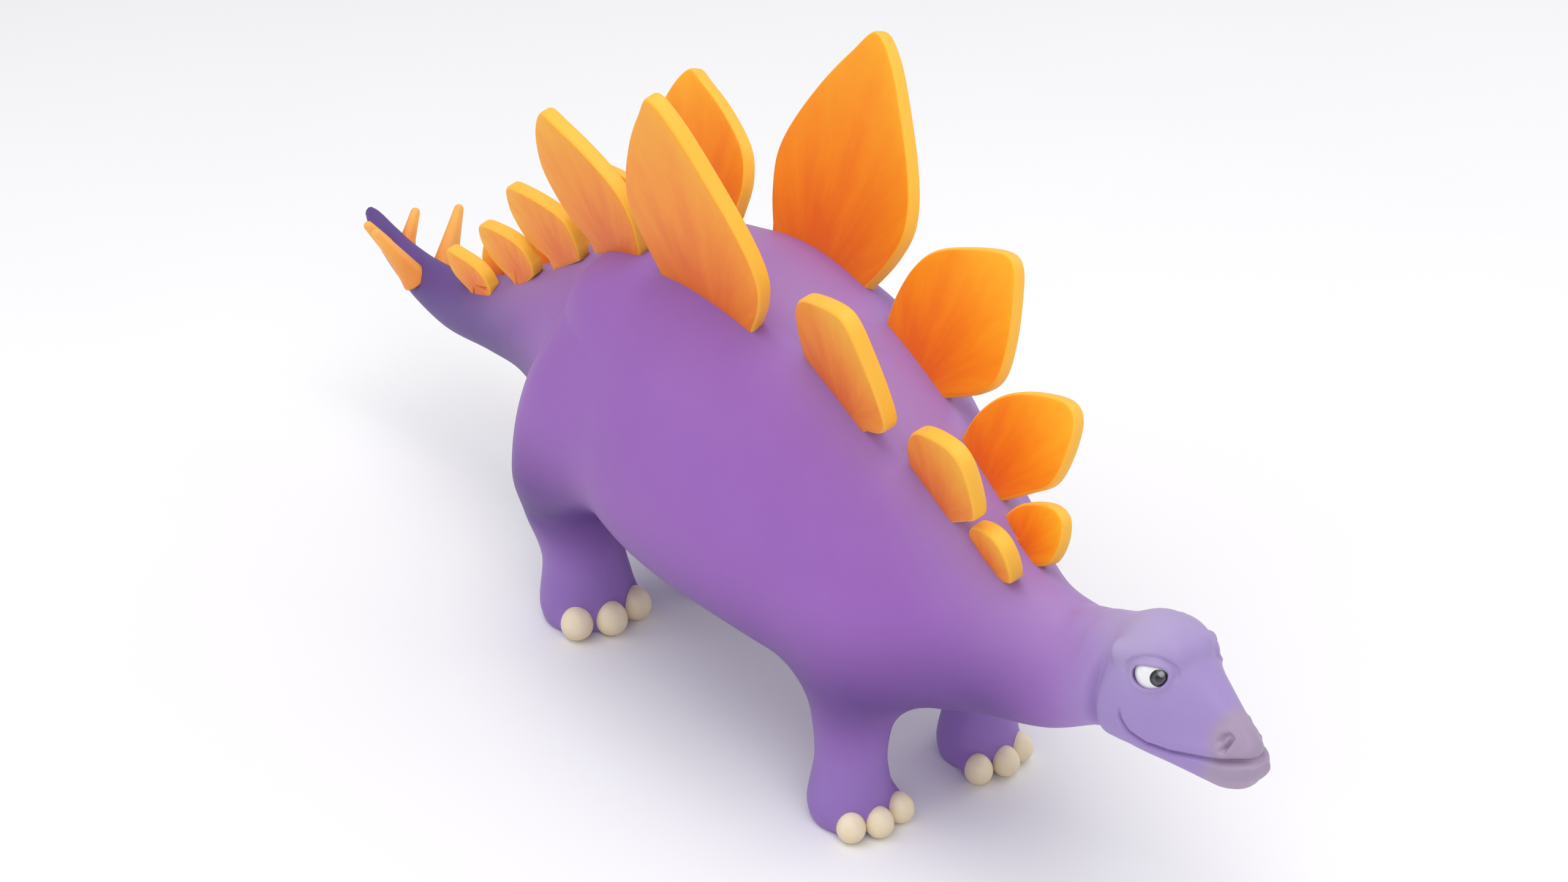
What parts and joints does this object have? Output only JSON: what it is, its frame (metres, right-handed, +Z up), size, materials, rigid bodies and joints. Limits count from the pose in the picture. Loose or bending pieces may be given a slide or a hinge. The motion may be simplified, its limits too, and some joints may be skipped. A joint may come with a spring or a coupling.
{
  "type": "stuffed stegosaurus toy",
  "caption": "Stuffed toy stegosaurus with paired back plates, tail spikes, posable neck, head, tail and swinging legs.",
  "frame": {"origin": "on the floor, under the middle of the toy's length and width", "axes": "+X towards the head, +Y to the animal's left side, +Z up"},
  "size_m": [0.51, 0.1282, 0.2346],
  "materials": {
    "body_vinyl": "satin airbrushed soft vinyl",
    "head_vinyl": "satin airbrushed soft vinyl",
    "leg_vinyl": "satin airbrushed soft vinyl",
    "tail_vinyl": "satin airbrushed soft vinyl",
    "plate_vinyl": "satin, painted from deep orange to yellow",
    "spike_vinyl": "satin",
    "nail_vinyl": "satin",
    "eye_gloss": "polished white with a painted pupil",
    "polyester_fibre": "loose white fibre",
    "steel": "plain",
    "nylon": "moulded"
  },
  "bodies": {
    "torso": {"torso_skin": "body_vinyl", "torso_stuffing": "polyester_fibre", "spine_beam": "nylon", "shoulder_axle": "steel", "hip_axle": "steel", "axle_caps": "steel", "neck_pin": "steel", "tail_pin": "steel", "plate_left_1": "plate_vinyl", "plate_left_2": "plate_vinyl", "plate_left_3": "plate_vinyl", "plate_left_4": "plate_vinyl", "plate_left_5": "plate_vinyl", "plate_left_6": "plate_vinyl", "plate_left_7": "plate_vinyl", "plate_right_1": "plate_vinyl", "plate_right_2": "plate_vinyl", "plate_right_3": "plate_vinyl", "plate_right_4": "plate_vinyl", "plate_right_5": "plate_vinyl", "plate_right_6": "plate_vinyl", "plate_right_7": "plate_vinyl"},
    "neck": {"neck_skin": "body_vinyl", "neck_stuffing": "polyester_fibre", "neck_link": "nylon", "nod_pin": "steel"},
    "head": {"head_skin": "head_vinyl", "head_stuffing": "polyester_fibre", "head_block": "nylon", "eye_left": "eye_gloss", "eye_right": "eye_gloss", "eye_washers": "nylon"},
    "tail_base": {"tail_base_skin": "tail_vinyl", "tail_base_stuffing": "polyester_fibre", "tail_link": "nylon", "tail_tip_pin": "steel", "plate_left_8": "plate_vinyl", "plate_right_8": "plate_vinyl"},
    "tail_tip": {"tail_tip_skin": "tail_vinyl", "tail_tip_stuffing": "polyester_fibre", "tail_tip_link": "nylon", "front_tail_spikes": "spike_vinyl", "rear_tail_spikes": "spike_vinyl"},
    "front_left_leg": {"front_left_leg_skin": "leg_vinyl", "front_left_leg_stuffing": "polyester_fibre", "front_left_leg_bone": "nylon", "front_left_nails": "nail_vinyl"},
    "front_right_leg": {"front_right_leg_skin": "leg_vinyl", "front_right_leg_stuffing": "polyester_fibre", "front_right_leg_bone": "nylon", "front_right_nails": "nail_vinyl"},
    "hind_left_leg": {"hind_left_leg_skin": "leg_vinyl", "hind_left_leg_stuffing": "polyester_fibre", "hind_left_leg_bone": "nylon", "hind_left_nails": "nail_vinyl"},
    "hind_right_leg": {"hind_right_leg_skin": "leg_vinyl", "hind_right_leg_stuffing": "polyester_fibre", "hind_right_leg_bone": "nylon", "hind_right_nails": "nail_vinyl"}
  },
  "joints": [
    {"name": "neck_yaw", "type": "hinge", "parent": "torso", "child": "neck", "pos_m": [0.162, 0, 0.086], "axis": [0, 0, 1], "range_deg": [-20, 20]},
    {"name": "head_nod", "type": "hinge", "parent": "neck", "child": "head", "pos_m": [0.198, 0, 0.097], "axis": [0, 1, 0], "range_deg": [-18, 18]},
    {"name": "tail_yaw", "type": "hinge", "parent": "torso", "child": "tail_base", "pos_m": [-0.133, 0, 0.081], "axis": [0, 0, 1], "range_deg": [-20, 20]},
    {"name": "tail_tip_yaw", "type": "hinge", "parent": "tail_base", "child": "tail_tip", "pos_m": [-0.186, 0, 0.068], "axis": [0, 0, 1], "range_deg": [-20, 20]},
    {"name": "front_left_leg_swing", "type": "hinge", "parent": "torso", "child": "front_left_leg", "pos_m": [0.103, 0, 0.062], "axis": [0, 1, 0], "range_deg": [-12, 12]},
    {"name": "front_right_leg_swing", "type": "hinge", "parent": "torso", "child": "front_right_leg", "pos_m": [0.103, 0, 0.062], "axis": [0, 1, 0], "range_deg": [-12, 12]},
    {"name": "hind_left_leg_swing", "type": "hinge", "parent": "torso", "child": "hind_left_leg", "pos_m": [-0.046, 0, 0.064], "axis": [0, 1, 0], "range_deg": [-12, 12]},
    {"name": "hind_right_leg_swing", "type": "hinge", "parent": "torso", "child": "hind_right_leg", "pos_m": [-0.046, 0, 0.064], "axis": [0, 1, 0], "range_deg": [-12, 12]}
  ]
}
